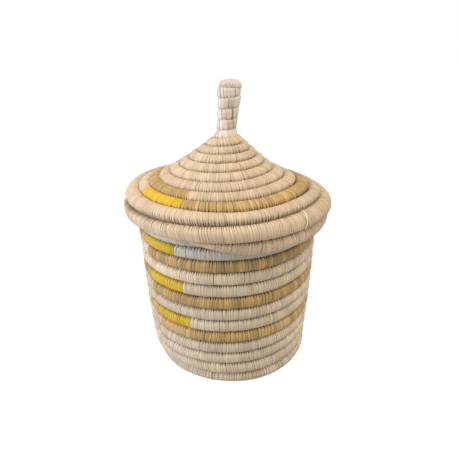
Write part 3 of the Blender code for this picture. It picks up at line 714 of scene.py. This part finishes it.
def brim_strand(winding, material):
    """Loose flat strand bound round the brim where two lengths of its coil meet."""
    place, _, _, half = winding.frames(np.array(BRIM_JOIN))
    angle = 2 * pi * BRIM_JOIN + TAIL_TIP_ANGLE
    along = np.array([cos(angle), sin(angle), 0])
    out = np.array([sin(angle), -cos(angle), 0])
    up = np.array([0, 0, 1])

    steps = np.linspace(0, 1, STRAND_POINTS)
    bend = STRAND_FROM + steps * STRAND_OVER
    wander = (STRAND_WAVE * np.sin(STRAND_WAVE_RATE * steps + STRAND_WAVE_START)
              - STRAND_SHEAR * (1 - steps) + STRAND_SHIFT)
    tapered = 1 - STRAND_END_NARROWING * (2 * steps - 1) ** STRAND_END_POWER
    narrow = STRAND_WIDTH / 2 * tapered * (1 + STRAND_RIPPLE * np.sin(STRAND_RIPPLE_RATE * steps))
    section = np.linspace(0, 2 * pi, STRAND_SECTION_POINTS)
    cosine, sine = np.cos(section), np.sin(section)
    across_share = np.sign(cosine) * np.abs(cosine) ** STRAND_ROUNDNESS
    deep_share = np.sign(sine) * np.abs(sine) ** STRAND_ROUNDNESS

    radial = out[None] * np.cos(bend)[:, None] + up[None] * np.sin(bend)[:, None]
    middle = place[None] + radial * (float(half) + STRAND_GAP + STRAND_THICKNESS / 2)
    places = (middle[:, None] + along * (wander[:, None] + narrow[:, None] * across_share[None])[..., None]
              + radial[:, None] * (STRAND_THICKNESS / 2 * deep_share)[None, :, None])
    ends = [np.repeat(middle[i:i + 1, None], STRAND_SECTION_POINTS, 1) for i in (0, STRAND_POINTS - 1)]
    places = np.concatenate([ends[0], places, ends[1]])
    counts = STRAND_FIRST_STRIP + STRAND_STRIP_SHARE * np.linspace(0, 1, len(places))

    piece = grid_piece("brim_strand_raffia", on_rim(places), counts, material)
    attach(piece, "lid")
    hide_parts("brim_strand")


def coil_thickness(turn):
    """The basket's coil is as thick at one turn as at any other."""
    return COIL_PITCH - ROW_GAP


def build_basket(raffias):
    bottom_height = (COIL_PITCH - ROW_GAP) / 2 * SIDE_SHARE - REST_CUT
    basket = Winding(basket_outline(bottom_height), FIRST_TURN, LAST_TURN, coil_thickness)
    basket.taper(basket.turns[0], START_TAPER, START_SHARE, 1)
    basket.taper(basket.turns[-1], -RIM_TAPER, TIP_SHARE, -1)
    basket.settle()
    natural, yellow = raffias["natural_raffia_wall"], raffias["yellow_raffia"]
    tans = [raffias[f"tan_raffia_{place}_band"] for place in ("low", "middle", "high")]
    lengths = [("bottom_coil", FIRST_TURN, FOOT_START, raffias["natural_raffia_foot"], "natural_raffia")]
    start = FOOT_START
    names = ("foot_coil", "lower_wall_coil", "upper_wall_coil")
    for number, (name, tan, band) in enumerate(zip(names, tans, WALL_BANDS), 1):
        row, tan_from, yellow_from, yellow_to = band
        tan_turn = row + tan_from / DEGREES_PER_TURN
        yellow_turn = row + 1 + yellow_from / DEGREES_PER_TURN
        end_turn = row + 1 + yellow_to / DEGREES_PER_TURN
        lengths += [(name, start, tan_turn, natural, "natural_raffia"),
                    (f"tan_band_{number}", tan_turn, yellow_turn, tan, "tan_raffia"),
                    (f"yellow_patch_{number}", yellow_turn, end_turn, yellow, "yellow_raffia")]
        start = end_turn
    # The rim coil takes the raffia with the lid's shade painted into it
    lengths.append(("rim_coil", start, basket.turns[-1], raffias["natural_raffia_rim_painted_shade"], "natural_raffia"))
    for number, (name, first, last, material, slot) in enumerate(lengths):
        wrapped_coil(name, basket, first, last, material, slot, "basket", on_ground,
                     notched=BOTTOM_NOTCHED if name == "bottom_coil" else 1,
                     first_strip=BASKET_STRIPS * number, seed=BASKET_SEED + number)


def build_lid(raffias):
    outline = smooth_line(LID_LINE)
    most_turns = int(distances_along(outline)[-1] / KNOB_COIL)
    lid = Winding(outline, 0, most_turns, lid_thickness, TAIL_TIP_ANGLE, EVEN_FROM)
    lid.taper(0, TAIL_TAPER, TIP_SHARE, 1)
    lid.taper(lid.turns[-1], -KNOB_TAPER, KNOB_TIP_SHARE, -1)
    lid.level_front(KNOB_FOOT - KNOB_LEVEL_OVER, KNOB_LEVEL_OVER, KNOB_LEVEL_SHARE)
    lid.fill_up(KNOB_TOP_FILL)
    lid.settle()
    natural, knob = raffias["natural_raffia_lid"], raffias["natural_raffia_knob"]
    yellow_from, tan_from, tan_to = LID_BAND
    lengths = (
        ("edge_coil", 0, BRIM_JOIN, natural, "natural_raffia"),
        ("brim_coil", BRIM_JOIN, yellow_from, natural, "natural_raffia"),
        ("lid_yellow_patch", yellow_from, tan_from, raffias["yellow_raffia"], "yellow_raffia"),
        ("lid_tan_band", tan_from, tan_to, raffias["tan_raffia_lid"], "tan_raffia"),
        ("cone_coil", tan_to, KNOB_FOOT, natural, "natural_raffia"),
        ("knob_coil", KNOB_FOOT, lid.turns[-1], knob, "natural_raffia"),
    )
    for number, (name, first, last, material, slot) in enumerate(lengths):
        wrapped_coil(name, lid, first, last, material, slot, "lid", on_rim, outward_share=LID_OUTWARD_SHARE,
                     first_strip=LID_FIRST_STRIP + LID_STRIPS * number, seed=LID_SEED + number,
                     **LID_WRAPS[name])
    knob_cap(lid, knob)
    brim_strand(lid, raffias["pale_raffia_strand"])


def shoot_from_photograph():
    camera = bpy.data.objects.new("photograph", bpy.data.cameras.new("photograph"))
    camera.data.sensor_width = SENSOR_WIDTH
    camera.data.lens = FOCAL_PIXELS / IMAGE_PIXELS * SENSOR_WIDTH
    camera.data.shift_x = SHIFT_PIXELS / IMAGE_PIXELS
    camera.data.clip_start = CLIP_START
    e = CAMERA_ELEVATION
    back = Vector((0, -cos(e), sin(e)))
    level_up, level_right = Vector((0, sin(e), cos(e))), Vector((1, 0, 0))
    up = cos(CAMERA_ROLL) * level_up - sin(CAMERA_ROLL) * level_right
    right = cos(CAMERA_ROLL) * level_right + sin(CAMERA_ROLL) * level_up
    turned = Matrix((right, up, back)).transposed().to_4x4()
    camera.matrix_world = Matrix.Translation(Vector((0, 0, AIM_HEIGHT)) + CAMERA_DISTANCE * back) @ turned
    bpy.context.scene.collection.objects.link(camera)
    bpy.context.scene.camera = camera


def soft_lamp(name, place, size, power, colour):
    lamp = bpy.data.lights.new(name, "AREA")
    lamp.shape = "DISK"
    lamp.size = size
    lamp.energy = power
    lamp.color = colour
    thing = bpy.data.objects.new(name, lamp)
    thing.location = place
    thing.rotation_euler = (Vector(LAMP_AIM) - Vector(place)).to_track_quat("-Z", "Y").to_euler()
    bpy.context.scene.collection.objects.link(thing)


def pale_floor_paint():
    """Matt and pale, and plain white to the camera."""
    paint = bpy.data.materials.new("pale_floor")
    paint.use_nodes = True
    tree = paint.node_tree
    shader = tree.nodes["Principled BSDF"]
    shader.inputs["Base Color"].default_value = (FLOOR_GREY, FLOOR_GREY, FLOOR_GREY, 1)
    shader.inputs["Roughness"].default_value = FLOOR_ROUGHNESS
    glow = tree.nodes.new("ShaderNodeEmission")
    glow.inputs["Strength"].default_value = FLOOR_GLOW
    seen = tree.nodes.new("ShaderNodeLightPath")
    most = tree.nodes.new("ShaderNodeMath")
    most.operation = "MULTIPLY"
    most.inputs[1].default_value = FLOOR_GLOW_SHARE
    mix = tree.nodes.new("ShaderNodeMixShader")
    tree.links.new(seen.outputs["Is Camera Ray"], most.inputs[0])
    tree.links.new(most.outputs[0], mix.inputs[0])
    tree.links.new(shader.outputs[0], mix.inputs[1])
    tree.links.new(glow.outputs[0], mix.inputs[2])
    tree.links.new(mix.outputs[0], tree.nodes["Material Output"].inputs[0])
    return paint


def studio_floor():
    work = bmesh.new()
    bmesh.ops.create_grid(work, x_segments=1, y_segments=1, size=FLOOR_SIZE)
    mesh = bpy.data.meshes.new("floor")
    work.to_mesh(mesh)
    work.free()
    mesh.materials.append(pale_floor_paint())
    ground = bpy.data.objects.new("floor", mesh)
    bpy.context.scene.collection.objects.link(ground)


def studio_room():
    """Even light from all round, in front of a white that only the camera sees."""
    world = bpy.data.worlds.new("studio")
    world.use_nodes = True
    tree = world.node_tree
    white = tree.nodes["Background"]
    white.inputs["Color"].default_value = (1, 1, 1, 1)
    light = tree.nodes.new("ShaderNodeBackground")
    light.inputs["Color"].default_value = (*ROOM_COLOUR, 1)
    light.inputs["Strength"].default_value = ROOM_STRENGTH
    seen = tree.nodes.new("ShaderNodeLightPath")
    mix = tree.nodes.new("ShaderNodeMixShader")
    tree.links.new(seen.outputs["Is Camera Ray"], mix.inputs[0])
    tree.links.new(light.outputs[0], mix.inputs[1])
    tree.links.new(white.outputs[0], mix.inputs[2])
    tree.links.new(mix.outputs[0], tree.nodes["World Output"].inputs[0])
    bpy.context.scene.world = world


def studio():
    studio_floor()
    studio_room()
    for lamp in LAMPS:
        soft_lamp(*lamp)
    bpy.context.scene.view_settings.view_transform = "Standard"


pattern = strip_pattern()
raffias = {name: raffia(name, pattern, **dye) for name, dye in DYES.items()}
build_basket(raffias)
build_lid(raffias)
studio()
shoot_from_photograph()
